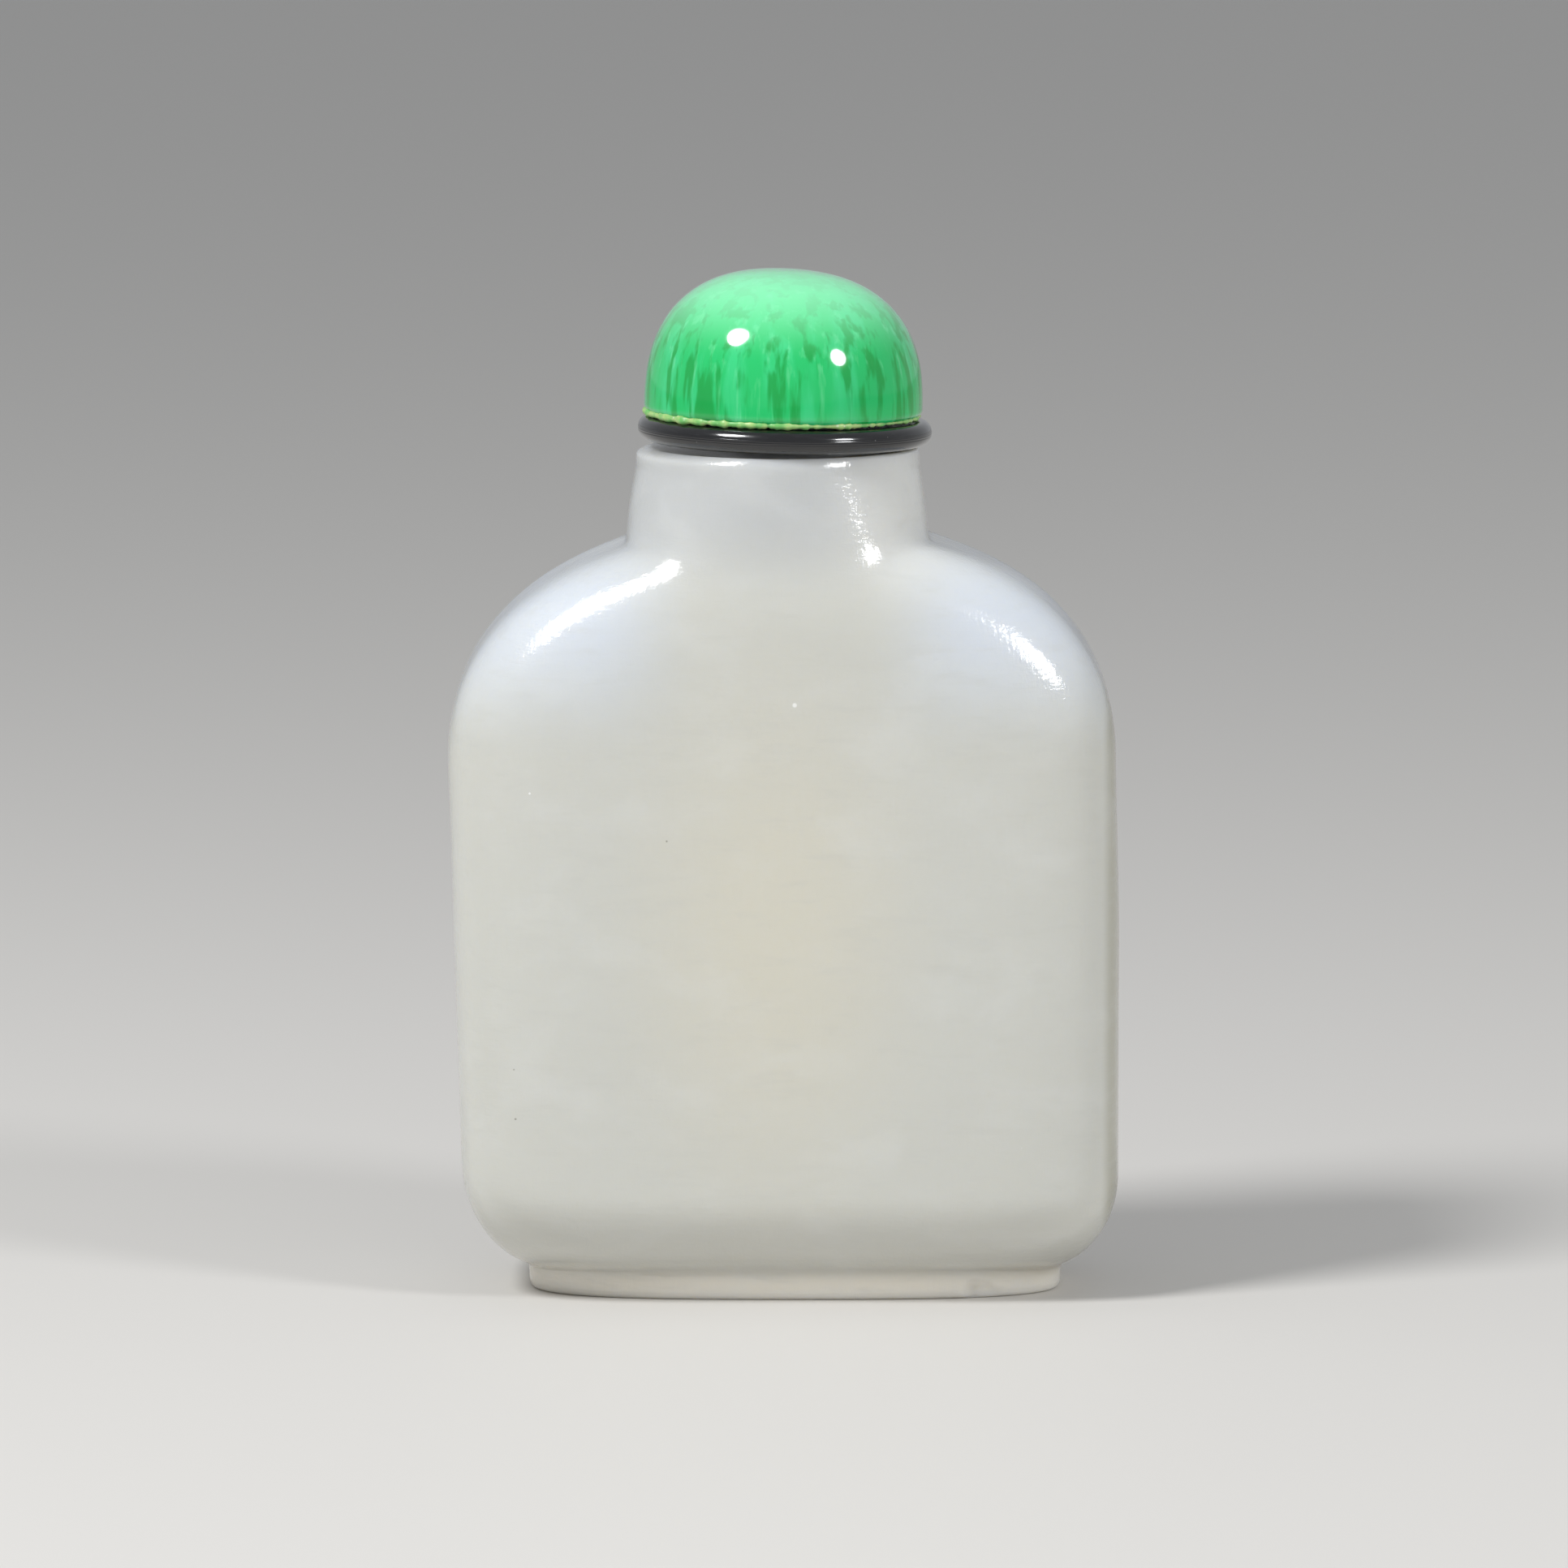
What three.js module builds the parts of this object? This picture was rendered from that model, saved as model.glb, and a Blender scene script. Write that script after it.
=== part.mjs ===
// A carved stone snuff bottle with a glass-topped stopper, in millimetres, +Z up.
// The origin is on the surface that the bottle stands on, under the middle of its outline.
// +X is to the right and -Y is towards the viewer: the broad flat face of the bottle looks along -Y.
// The stone was cut by eye, so the bottle leans a little: its neck sits left of its foot.

import * as THREE from "three";

// ---- Driving dimensions -------------------------------------------------------------------------

const LIP_Z = 56.2; // top of the bottle itself, without its stopper
const NECK_Z = 50.5; // foot of the free part of the neck
const SHOULDER_Z = 35.84; // where the straight sides end and the shoulders begin
const CORNER_Z = 9; // where the straight sides end and the lower corners begin
const JOIN_Z = 1.5; // where the foot meets the body at its two ends

// Half-widths of the front outline, measured from x = 0, at the named heights.
const LEFT = { top: 22.15, shoulder: 22.25, corner: 21.5 };
const RIGHT = { top: 22.25, shoulder: 22.0, corner: 22.25, swell: 15 };
const SHOULDER_RISE = 15.4; // the shoulders would meet this far above SHOULDER_Z
const SHOULDER_POWER = 2.2; // and are quarters of a superellipse of this power
const CHAMFER = 0.2; // how far the slope of a shoulder is cut down towards a flat
const LEFT_TUCK = { start: 9.0, drop: 7.75, inward: 6.2 }; // lower left corner, a quarter ellipse
const RIGHT_TUCK = { start: 8.2, drop: 6.95, inward: 5.5 }; // lower right corner

// Half-depths of the body: thickest at bellyZ, rolled in at the shoulders and above the foot.
const DEPTH = { belly: 10.9, bellyZ: 27, low: 10.6 };
const DEPTH_TUCK = { start: 7.5, drop: 6.65, inward: 8.3 };
const PLAN_POWER = { round: 2, square: 5.2, fullWidth: 22 }; // level sections of the body

// The neck tapers to a round mouth. Lower down it squares up, and its front and back slope out by
// `front.slope`, and by `front.foot` below front.bend, until they lie inside the body's broad faces.
const NECK = { x: -0.42, radius: 10.0, taper: 0.6, height: 4.5, bow: 1.4 };
const NECK_FRONT = { top: 55.4, slope: 0.12, bend: 50, foot: 0.16, limit: 10.6, soft: 0.6 };
const NECK_PLAN = { mouth: 2, base: 3.4, change: 9, bow: 1.5 };
const LIP_ROUND = 0.5; // rounding of the lip's outer edge
const CREASE = 0.6; // width of the soft creases between neck, body and foot

const FOOT = { x: 0.75, width: 17.8, depth: 7.2, power: 3, flare: 0.1, round: 0.35 };
const FOOT_RIM = 2.7; // width of the flat ring that the bottle stands on
const RECESS = { depth: 1.0, slope: 0.4 }; // hollow ground into the underside

const BORE = { x: -0.05, radius: 3.5, bottom: 46.5 };
const CAVITY = { floor: 5, width: 18, depth: 7.8, power: 4, plan: 3.4, x: 0.1 };

const STOPPER = { x: 0.03, z: 56.51, tilt: 1.3 }; // collar's underside, and the tilt in degrees
const COLLAR = { radius: 9.75, height: 1.6 };
const GLUE_GAP = 0.25; // film of glue between collar and dome
const DOME = { radius: 9.24, height: 9.55, power: 2.45, round: 0.5, shift: -0.13, lean: 0.22 };
const CORK = { radius: 3.15, gap: 0.3, length: 6.4, taper: 0.15 };

const SEGMENTS = 64; // points round each ring of the bottle
const RINGS = { low: 10, side: 5, shoulder: 13, neck: 3, lip: 3, hollow: 12 };
const SPREAD = 2.6; // how strongly those points crowd where a ring turns its corners
const HALVINGS = 30; // steps in the search for a point of the shoulders
const LATHE_SEGMENTS = 48;
const BEVEL = 0.3; // a quarter round's middle ring lies this share of its radius in from both sides

// ---- Small helpers ------------------------------------------------------------------------------

const mix = THREE.MathUtils.lerp;
const clamp01 = (t) => THREE.MathUtils.clamp(t, 0, 1);

// The height of a superellipse of width and height 1 at the place t along its width.
const superArc = (t, power) => Math.pow(1 - Math.pow(clamp01(t), power), 1 / power);

// The larger of two lengths, with the corner between them filled where they differ by less than width.
function softMax(a, b, width) {
  const overlap = Math.max(width - Math.abs(a - b), 0) / width;
  return Math.max(a, b) + (width * overlap * overlap) / 4;
}

// count + 1 heights from one z to another, crowded together near the first or the last of them.
function heights(from, to, count, crowd) {
  const ease = {
    first: (t) => 1 - Math.cos((t * Math.PI) / 2),
    last: (t) => Math.sin((t * Math.PI) / 2),
    both: (t) => (1 - Math.cos(t * Math.PI)) / 2,
    none: (t) => t,
  }[crowd];
  return Array.from({ length: count + 1 }, (_, i) => mix(from, to, ease(i / count)));
}

// ---- The three forms of the bottle: foot, body and neck -------------------------------------------
// Each is given at a height z as a level section: its reach to the left and to the right of the
// bottle's axis, its half-depth, and the power of its superellipse. A body's section also has its rise
// into the shoulders, from 0 at their foot to 1 where they would meet.

// The axis leans from the middle of the foot to the middle of the neck.
const axisX = (z) => mix(FOOT.x, NECK.x, clamp01((z - JOIN_Z) / (NECK_Z - JOIN_Z)));

const disc = (radius, power) => ({ left: radius, right: radius, depth: radius, power });

// The body's section is rounder where it is narrower, in its lower corners.
function planPower(halfWidth) {
  const t = clamp01((halfWidth - NECK.radius) / (PLAN_POWER.fullWidth - NECK.radius));
  return mix(PLAN_POWER.round, PLAN_POWER.square, t * t);
}

function neckDepth(z) {
  const { top, slope, bend, foot, limit, soft } = NECK_FRONT;
  const mouth = NECK.radius - NECK.taper;
  const flared = mouth + slope * Math.max(top - z, 0) + (foot - slope) * Math.max(bend - z, 0);
  return -softMax(-flared, -limit, soft);
}

function neckForm(z) {
  const t = clamp01((z - NECK_Z) / NECK.height);
  const edge = clamp01((z - LIP_Z + LIP_ROUND) / LIP_ROUND);
  const radius = NECK.radius - NECK.taper * Math.pow(t, NECK.bow);
  const worn = LIP_ROUND * (1 - superArc(edge, 2));
  const squaring = Math.pow(clamp01((LIP_Z - z) / NECK_PLAN.change), NECK_PLAN.bow);
  const power = mix(NECK_PLAN.mouth, NECK_PLAN.base, squaring);
  return { left: radius - worn, right: radius - worn, depth: neckDepth(z) - worn, power };
}

function footForm(inset) {
  const width = FOOT.width - inset;
  return { left: width, right: width, depth: FOOT.depth - inset, power: FOOT.power };
}

// How far a quarter-ellipse roll has drawn in at height z.
const tuck = (z, roll) => roll.inward * (1 - superArc((roll.start - z) / roll.drop, 2));

// Below SHOULDER_Z the left side runs in a little towards the foot.
const leftSide = (z) =>
  mix(LEFT.shoulder, LEFT.corner, (SHOULDER_Z - z) / (SHOULDER_Z - CORNER_Z));

// The right side swells a little below the shoulder and then runs straight.
const rightSide = (z) =>
  mix(
    RIGHT.shoulder,
    RIGHT.corner,
    Math.sin((clamp01((SHOULDER_Z - z) / RIGHT.swell) * Math.PI) / 2),
  );

function shoulder(rise, side) {
  return mix(side.shoulder, side.top, rise * rise) * superArc(rise, SHOULDER_POWER);
}

function bodyForm(z) {
  const rise = (z - SHOULDER_Z) / SHOULDER_RISE;
  const low = (DEPTH.bellyZ - z) / DEPTH.bellyZ;
  const left = rise > 0 ? shoulder(rise, LEFT) : leftSide(z) - tuck(z, LEFT_TUCK);
  const right = rise > 0 ? shoulder(rise, RIGHT) : rightSide(z) - tuck(z, RIGHT_TUCK);
  return {
    left: left + axisX(z),
    right: right - axisX(z),
    depth: mix(DEPTH.belly, DEPTH.low, clamp01(low) ** 2) - tuck(z, DEPTH_TUCK),
    power: rise > 0 ? PLAN_POWER.square : planPower((left + right) / 2),
    rise: Math.max(rise, 0),
  };
}

// Where a point lies between the middle of the front face, 0, and the outline of the front, 1. The
// first term is the shoulders' own superellipse, and the second cuts their slopes down to flats.
function towardsOutline(across, rise) {
  const sideways = Math.pow(across * superArc(rise, SHOULDER_POWER), SHOULDER_POWER);
  const upward = Math.pow(rise, SHOULDER_POWER);
  const sum = Math.max(sideways + upward, 1e-9);
  const slope = (4 * sideways * upward) / (sum * sum);
  return Math.pow(sum, 1 / SHOULDER_POWER) * (1 + CHAMFER * slope * (1 - sum));
}

// ---- Rings: a height, a centre, and the forms that are joined there --------------------------------

const footRing = (z, inset) => ({ z, x: FOOT.x, forms: [footForm(inset)] });

function footRings() {
  const edge = FOOT.flare + FOOT.round;
  return [
    footRing(RECESS.depth, edge + FOOT_RIM + RECESS.slope),
    footRing(0, edge + FOOT_RIM),
    footRing(0, edge),
    footRing(FOOT.round * BEVEL, FOOT.flare + FOOT.round * BEVEL),
    footRing(FOOT.round, FOOT.flare),
  ];
}

const lowRing = (z) => ({ z, x: axisX(z), forms: [bodyForm(z), footForm(0)] });
const sideRing = (z) => ({ z, x: axisX(z), forms: [bodyForm(z)] });
const shoulderRing = (z) => ({ z, x: axisX(z), forms: [bodyForm(z), neckForm(z)] });
const neckRing = (z) => ({ z, x: NECK.x, forms: [neckForm(z)] });

function bodyRings() {
  return [
    ...heights(JOIN_Z, CORNER_Z, RINGS.low, "first").map(lowRing),
    ...heights(CORNER_Z, SHOULDER_Z, RINGS.side, "none").slice(1, -1).map(sideRing),
    ...heights(SHOULDER_Z, NECK_Z, RINGS.shoulder, "last").map(shoulderRing),
    ...heights(NECK_Z, LIP_Z - LIP_ROUND, RINGS.neck, "none").slice(1).map(neckRing),
    ...heights(LIP_Z - LIP_ROUND, LIP_Z, RINGS.lip, "last").slice(1).map(neckRing),
  ];
}

const boreRing = (z) => ({ z, x: BORE.x, forms: [disc(BORE.radius, 2)] });

// The cavity opens out from the bore, follows the body with walls of 3 to 4 mm, and closes again.
function cavityRing(z) {
  const middle = (BORE.bottom + CAVITY.floor) / 2;
  const swell = superArc(Math.abs(z - middle) / (BORE.bottom - middle), CAVITY.power);
  const width = mix(BORE.radius, CAVITY.width, swell);
  const depth = mix(BORE.radius, CAVITY.depth, swell);
  const power = mix(PLAN_POWER.round, CAVITY.plan, swell);
  return { z, x: mix(BORE.x, CAVITY.x, swell), forms: [{ left: width, right: width, depth, power }] };
}

const hollowRings = () => [
  boreRing(LIP_Z),
  ...heights(BORE.bottom, CAVITY.floor, RINGS.hollow, "both").map(cavityRing),
];

// ---- One skin through all the rings -------------------------------------------------------------

// How far a plain form reaches in the direction of the unit vector (x, y).
function plainReach(form, x, y) {
  const width = x < 0 ? form.left : form.right;
  const sum = Math.pow(Math.abs(x) / width, form.power) + Math.pow(Math.abs(y) / form.depth, form.power);
  return Math.pow(sum, -1 / form.power);
}

// The same for a section through the shoulders, which has no formula, so it is found by halving.
function shoulderReach(form, x, y) {
  const width = x < 0 ? form.left : form.right;
  let inside = 0;
  let outside = width + form.depth;
  for (let step = 0; step < HALVINGS; step += 1) {
    const middle = (inside + outside) / 2;
    const across = Math.min((middle * Math.abs(x)) / width, 1);
    const depth = form.depth * superArc(towardsOutline(across, form.rise), form.power);
    if (across < 1 && middle * Math.abs(y) < depth) inside = middle;
    else outside = middle;
  }
  return inside;
}

const reach = (form, x, y) => (form.rise ? shoulderReach : plainReach)(form, x, y);

// A point of a ring, in a direction that is spread by the first form's own shape.
function ringPoint(ring, index) {
  const angle = (index / SEGMENTS) * 2 * Math.PI;
  const lead = ring.forms[0];
  const bend = (value) => Math.sign(value) * Math.pow(Math.abs(value), 2 / SPREAD);
  const sideways = (Math.cos(angle) < 0 ? lead.left : lead.right) * bend(Math.cos(angle));
  const forward = lead.depth * bend(Math.sin(angle));
  const x = sideways / Math.hypot(sideways, forward);
  const y = forward / Math.hypot(sideways, forward);
  const radius = ring.forms.map((form) => reach(form, x, y)).reduce((a, b) => softMax(a, b, CREASE));
  return [ring.x + radius * x, radius * y, ring.z];
}

// A closed skin: a fan, bands between neighbouring rings, and a fan at the other end.
function loft(rings) {
  const first = rings[0];
  const last = rings[rings.length - 1];
  const points = rings.flatMap((ring) =>
    Array.from({ length: SEGMENTS }, (_, i) => ringPoint(ring, i)).flat(),
  );
  const start = points.length / 3;
  points.push(first.x, 0, first.z, last.x, 0, last.z);
  const top = (rings.length - 1) * SEGMENTS;
  const faces = [];
  for (let i = 0; i < SEGMENTS; i += 1) {
    const j = (i + 1) % SEGMENTS;
    faces.push(start, j, i);
    faces.push(start + 1, top + i, top + j);
    for (let low = 0; low < top; low += SEGMENTS) {
      const high = low + SEGMENTS;
      faces.push(low + i, low + j, high + j);
      faces.push(low + i, high + j, high + i);
    }
  }
  const geometry = new THREE.BufferGeometry();
  geometry.setAttribute("position", new THREE.Float32BufferAttribute(points, 3));
  geometry.setIndex(faces);
  geometry.computeVertexNormals();
  return geometry;
}

const makeBottle = () => loft([...footRings(), ...bodyRings(), ...hollowRings()]);

// ---- The stopper, about its own upright axis with the collar's underside at z = 0 -----------------

// Turns a profile of [radius, height] points, which runs from the axis round to the axis, about Z.
function turned(profile) {
  const points = profile.map(([radius, height]) => new THREE.Vector2(radius, height));
  return new THREE.LatheGeometry(points, LATHE_SEGMENTS).rotateX(Math.PI / 2);
}

// A thin disc whose whole edge is a half round.
function makeCollar() {
  const round = COLLAR.height / 2;
  const profile = [[0, 0]];
  for (const angle of heights(-Math.PI / 2, Math.PI / 2, 8, "none")) {
    profile.push([
      COLLAR.radius - round + round * Math.cos(angle),
      round + round * Math.sin(angle),
    ]);
  }
  profile.push([0, COLLAR.height]);
  return turned(profile);
}

// A cabochon: a superellipse in section, its lower edge rounded, its crown a little off the axis.
function makeDome() {
  const base = COLLAR.height + GLUE_GAP;
  const profile = [[0, base]];
  for (const angle of heights(0, Math.PI / 2, 3, "none")) {
    profile.push([
      DOME.radius - DOME.round * (1 - Math.sin(angle)),
      base + DOME.round * (1 - Math.cos(angle)),
    ]);
  }
  const rise = DOME.height - DOME.round;
  for (const t of heights(0, 1, 14, "last").slice(1)) {
    profile.push([DOME.radius * superArc(t, DOME.power), base + DOME.round + rise * t]);
  }
  const geometry = turned(profile);
  const place = geometry.attributes.position;
  for (let i = 0; i < place.count; i += 1) {
    const t = (place.getZ(i) - base) / DOME.height;
    place.setX(i, place.getX(i) + DOME.shift - DOME.lean * t ** 4);
  }
  return geometry;
}

// The plug that holds the stopper in the mouth, slightly tapered.
function makeCork() {
  return turned([
    [0, -CORK.gap - CORK.length],
    [CORK.radius - CORK.taper, -CORK.gap - CORK.length],
    [CORK.radius, -CORK.gap],
    [0, -CORK.gap],
  ]);
}

// ---- Assembly -----------------------------------------------------------------------------------

function piece(name, geometry, colour, roughness) {
  const material = new THREE.MeshStandardMaterial({ color: colour, roughness, metalness: 0 });
  const mesh = new THREE.Mesh(geometry, material);
  mesh.name = name;
  return mesh;
}

function makeStopper() {
  const stopper = new THREE.Group();
  stopper.add(piece("stopper_dome", makeDome(), 0x45cf80, 0.15));
  stopper.add(piece("stopper_collar", makeCollar(), 0x141416, 0.2));
  stopper.add(piece("cork", makeCork(), 0xa9835a, 0.9));
  stopper.position.set(STOPPER.x, 0, STOPPER.z);
  stopper.rotation.y = THREE.MathUtils.degToRad(STOPPER.tilt);
  return stopper;
}

const group = new THREE.Group();
group.add(piece("bottle", makeBottle(), 0xcfcfca, 0.3));
group.add(makeStopper());

export default group;
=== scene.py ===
# %% [markdown]
# # A stone snuff bottle with a glass stopper
#
# The real object is four things. The bottle is carved from one pebble of greyish-white stone and
# hollowed through its mouth. The stopper is a dome of streaked green glass, glued to a polished black
# collar, with a cork below that plugs the mouth.
#
# The solid model that this script loads has the right forms and sizes, but flat facets. Each solid is
# replaced here by a smooth mesh of the same form with the small damage and unevenness of handwork, and
# each gets a procedural finish. Nothing is moved: every piece is built where its solid stands.

import math

import bpy
import numpy as np
from mathutils import Matrix, Vector, noise


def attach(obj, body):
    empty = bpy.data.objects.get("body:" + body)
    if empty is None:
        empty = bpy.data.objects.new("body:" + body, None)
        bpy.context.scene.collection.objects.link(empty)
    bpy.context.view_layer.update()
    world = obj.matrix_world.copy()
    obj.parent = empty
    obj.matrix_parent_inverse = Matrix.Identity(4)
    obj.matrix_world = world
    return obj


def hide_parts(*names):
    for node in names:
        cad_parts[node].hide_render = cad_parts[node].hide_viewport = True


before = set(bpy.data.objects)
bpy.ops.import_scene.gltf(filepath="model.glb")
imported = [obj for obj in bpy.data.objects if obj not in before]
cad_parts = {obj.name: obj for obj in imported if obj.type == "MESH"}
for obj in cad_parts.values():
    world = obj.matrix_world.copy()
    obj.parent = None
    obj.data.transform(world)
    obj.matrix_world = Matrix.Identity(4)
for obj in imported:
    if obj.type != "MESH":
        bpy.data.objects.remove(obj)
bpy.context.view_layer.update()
MM = 0.001  # the script's lengths are millimetres, and Blender's are metres
print("solids:", sorted(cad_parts))

# %% [markdown]
# ## The camera
#
# A small object that is photographed from nearby looks bulged, so product pictures are taken with a
# long lens from further off. The camera stands 80 cm away and a little above the bottle, looking down
# by 7 degrees, which is why the foot and the collar show as shallow curves.

# %% Camera
CAMERA_DISTANCE = 800
CAMERA_HEIGHT = 135.4
AIM_HEIGHT = 33.6
FIELD_WIDTH = 104.3  # width of the picture, measured at the bottle
SENSOR_WIDTH = 36

camera = bpy.data.objects.new("camera", bpy.data.cameras.new("camera"))
bpy.context.scene.collection.objects.link(camera)
bpy.context.scene.camera = camera
drop = CAMERA_HEIGHT - AIM_HEIGHT
camera.location = Vector((0, -math.sqrt(CAMERA_DISTANCE**2 - drop**2), CAMERA_HEIGHT)) * MM
aim = Vector((0, 0, AIM_HEIGHT)) * MM
camera.rotation_euler = (aim - camera.location).to_track_quat("-Z", "Y").to_euler()
camera.data.sensor_width = SENSOR_WIDTH
camera.data.lens = SENSOR_WIDTH * CAMERA_DISTANCE / FIELD_WIDTH
camera.data.clip_start = 0.05  # metres
camera.data.clip_end = 20
print("lens:", round(camera.data.lens), "mm, looking down by",
      round(math.degrees(math.asin(drop / CAMERA_DISTANCE)), 1), "degrees")

# %% [markdown]
# ## The studio
#
# Polished stone and glass show their lights as highlights, so the lights are as much a part of the
# look as the materials. Two round lamps stand left and right of the camera: the left one higher,
# larger and brighter. A weak even sky fills the shadows. The floor is one plain pale sheet.

# %% Floor, sky and lamps
FLOOR_SIZE = 6.0  # metres
FLOOR_COLOUR = (0.62, 0.60, 0.57)
FLOOR_ROUGHNESS = 0.6
SKY_COLOUR = (0.93, 0.96, 1.0)
SKY_STRENGTH = 0.42
LAMP_DISTANCE = 600
LAMPS = [  # name, azimuth and elevation in degrees, width in mm, watts and colour
    ("key lamp", -52, 48.5, 180, 3.0, (0.98, 0.99, 1.0)),
    ("fill lamp", 51.5, 31.5, 142, 1.3, (0.97, 0.98, 1.0)),
]


def colour4(rgb):
    return (*rgb, 1.0)


def make_floor():
    bpy.ops.mesh.primitive_plane_add(size=FLOOR_SIZE)
    floor = bpy.context.object
    floor.name = "floor"
    paint = bpy.data.materials.new("floor paint")
    paint.use_nodes = True
    shader = paint.node_tree.nodes["Principled BSDF"]
    shader.inputs["Base Color"].default_value = colour4(FLOOR_COLOUR)
    shader.inputs["Roughness"].default_value = FLOOR_ROUGHNESS
    floor.data.materials.append(paint)


def make_lamp(name, azimuth, elevation, width, watts, colour):
    """A round lamp that points at the bottle. Azimuth 0 is the camera's side, positive to the right."""
    data = bpy.data.lights.new(name, "AREA")
    data.shape = "DISK"
    data.size = width * MM
    data.energy = watts
    data.color = colour
    lamp = bpy.data.objects.new(name, data)
    bpy.context.scene.collection.objects.link(lamp)
    around, up = math.radians(azimuth), math.radians(elevation)
    towards = Vector((math.sin(around) * math.cos(up), -math.cos(around) * math.cos(up), math.sin(up)))
    lamp.location = aim + towards * LAMP_DISTANCE * MM
    lamp.rotation_euler = (-towards).to_track_quat("-Z", "Y").to_euler()


make_floor()
for settings in LAMPS:
    make_lamp(*settings)

sky = bpy.data.worlds.new("sky")
sky.use_nodes = True
sky.node_tree.nodes["Background"].inputs["Color"].default_value = colour4(SKY_COLOUR)
sky.node_tree.nodes["Background"].inputs["Strength"].default_value = SKY_STRENGTH
bpy.context.scene.world = sky
bpy.context.scene.view_settings.view_transform = "Standard"

# %% [markdown]
# ## Tools for building meshes
#
# Every piece here is a skin of rings: level loops of points, one above the other, joined by faces. It
# could be modelled by hand with a subdivision surface, but a formula for the rings keeps the exact form
# of the solid and gives as many points as fine damage needs.

# %% Skins made of rings
SEED_STEPS = (17.3, 5.1, 29.7)  # each seed looks at another place in the same noise
TINY = 1e-9  # keeps a division from dividing by zero


def mix(a, b, t):
    return a + (b - a) * t


def clamp01(t):
    return min(1.0, max(0.0, t))


def super_arc(t, power):
    """Height of a superellipse of width and height 1, at the place t along its width."""
    return (1 - clamp01(t) ** power) ** (1 / power)


def heights(start, end, count, crowd="none"):
    """count + 1 heights, crowded together near the first, the last or both of them."""
    ease = {
        "first": lambda t: 1 - math.cos(t * math.pi / 2),
        "last": lambda t: math.sin(t * math.pi / 2),
        "both": lambda t: (1 - math.cos(t * math.pi)) / 2,
        "none": lambda t: t,
    }[crowd]
    return [mix(start, end, ease(i / count)) for i in range(count + 1)]


def skin_faces(rings, segments):
    """Quads between neighbouring rings and a fan at each end, for a grid of points and two poles."""
    low = np.arange(rings - 1)[:, None] * segments
    i = np.arange(segments)[None, :]
    j = (i + 1) % segments
    quads = np.stack([low + i, low + j, low + segments + j, low + segments + i], -1).reshape(-1, 4)
    first_pole = rings * segments
    top = (rings - 1) * segments
    fans = [(first_pole, (k + 1) % segments, k) for k in range(segments)]
    fans += [(first_pole + 1, top + k, top + (k + 1) % segments) for k in range(segments)]
    return quads.tolist() + fans


def make_piece(name, grid, faces):
    """A smooth-shaded object from points in millimetres."""
    mesh = bpy.data.meshes.new(name)
    mesh.from_pydata((grid * MM).tolist(), [], faces)
    mesh.validate()
    mesh.shade_smooth()
    piece = bpy.data.objects.new(name, mesh)
    bpy.context.scene.collection.objects.link(piece)
    return piece


def normals_of(points):
    """Outward normals of a rings x segments grid of points."""
    along = np.roll(points, -1, axis=1) - np.roll(points, 1, axis=1)
    upward = np.gradient(points, axis=0)
    normal = np.cross(along, upward)
    length = np.linalg.norm(normal, axis=2, keepdims=True)
    return normal / np.maximum(length, TINY)


def roughness_field(points, size, seed):
    """Smooth noise from -1 to 1 at each point, with lumps of about the given size."""
    offset = Vector([seed * step for step in SEED_STEPS])
    flat = points.reshape(-1, 3)
    values = [noise.noise(Vector(p) / size + offset) for p in flat]
    return np.array(values).reshape(points.shape[:-1])


print("a quarter of a square-ish superellipse:", [round(super_arc(t / 4, 4.5), 2) for t in range(5)])

# %% [markdown]
# ## The bottle's form
#
# The bottle is three forms carved as one: a low oval foot, a broad body, and a neck that is round at the
# mouth. At each height a form is a superellipse, which can be anything from a circle to a rounded
# rectangle, and where two forms meet the larger one wins, with a soft crease. The axis leans to the left
# as it rises, because the carver worked by eye. These are the sizes of the solid model.

# %% Sizes of the bottle
LIP_Z = 56.2
NECK_Z = 50.5
SHOULDER_Z = 35.84
CORNER_Z = 9
JOIN_Z = 1.5
LEFT = {"top": 22.15, "shoulder": 22.25, "corner": 21.5}
RIGHT = {"top": 22.25, "shoulder": 22.0, "corner": 22.25, "swell": 15}
SHOULDER_RISE = 15.4
SHOULDER_POWER = 2.2
CHAMFER = 0.2
LEFT_TUCK = {"start": 9.0, "drop": 7.75, "inward": 6.2}
RIGHT_TUCK = {"start": 8.2, "drop": 6.95, "inward": 5.5}
DEPTH = {"belly": 10.9, "belly_z": 27, "low": 10.6}
DEPTH_TUCK = {"start": 7.5, "drop": 6.65, "inward": 8.3}
PLAN_POWER = {"round": 2, "square": 5.2, "full_width": 22}
NECK = {"x": -0.42, "radius": 10.0, "taper": 0.6, "height": 4.5, "bow": 1.4}
NECK_FRONT = {"top": 55.4, "slope": 0.12, "bend": 50, "foot": 0.16, "limit": 10.6, "soft": 0.6}
NECK_PLAN = {"mouth": 2, "base": 3.4, "change": 9, "bow": 1.5}
CREASE = 0.6
FOOT = {"x": 0.75, "width": 17.8, "depth": 7.2, "power": 3, "flare": 0.1, "round": 0.35}
FOOT_RIM = 2.7
RECESS = {"depth": 1.0, "slope": 0.4}
LIP_EDGE = 1.2  # the flat of the lip starts this far in, which leaves room for the wear
BORE = {"x": -0.05, "radius": 3.5, "bottom": 46.5}
CAVITY = {"floor": 5, "width": 18, "depth": 7.8, "power": 4, "plan": 3.4, "x": 0.1}


def axis_x(z):
    return mix(FOOT["x"], NECK["x"], clamp01((z - JOIN_Z) / (NECK_Z - JOIN_Z)))


def form(left, right, depth, power, rise=0):
    """A level section: its reach left and right of the axis, its half-depth and its power.

    The rise is above 0 only in the shoulders: 0 is at their foot, and 1 would be where they close.
    """
    return {"left": left, "right": right, "depth": depth, "power": power, "rise": rise}


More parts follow.
